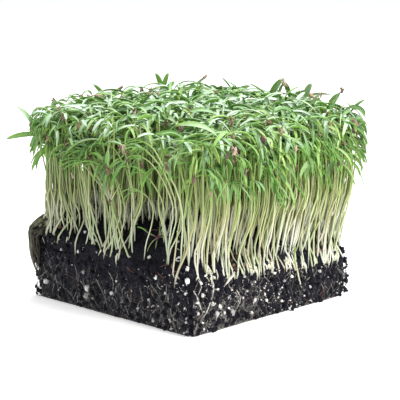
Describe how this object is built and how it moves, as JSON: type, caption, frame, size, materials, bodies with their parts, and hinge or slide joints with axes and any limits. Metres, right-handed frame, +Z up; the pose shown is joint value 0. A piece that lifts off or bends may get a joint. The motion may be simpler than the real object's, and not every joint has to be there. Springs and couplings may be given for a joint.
{
  "type": "microgreens in a square soil block",
  "caption": "Square block of root-bound potting soil, out of its tray, with a dense stand of seedlings whose narrow leaves arch into a green canopy. Rests on its flat base.",
  "frame": {"origin": "middle of the soil block's flat base", "axes": "+Z up; X and Y along the block's sides; the stems lean a little towards +X and +Y"},
  "size_m": [0.1451, 0.1451, 0.1201],
  "materials": {
    "soil": "damp, crumbly, matte",
    "greens": "fresh, satin"
  },
  "bodies": {
    "root": {"soil_block": "soil", "tuft_01": "greens", "tuft_02": "greens", "tuft_03": "greens", "tuft_04": "greens", "tuft_05": "greens", "tuft_06": "greens", "tuft_07": "greens", "tuft_08": "greens", "tuft_09": "greens", "tuft_10": "greens", "tuft_11": "greens", "tuft_12": "greens", "tuft_13": "greens", "tuft_14": "greens", "tuft_15": "greens", "tuft_16": "greens", "tuft_17": "greens", "tuft_18": "greens", "tuft_19": "greens", "tuft_20": "greens", "tuft_21": "greens", "tuft_22": "greens", "tuft_23": "greens", "tuft_24": "greens", "tuft_25": "greens"}
  },
  "joints": []
}
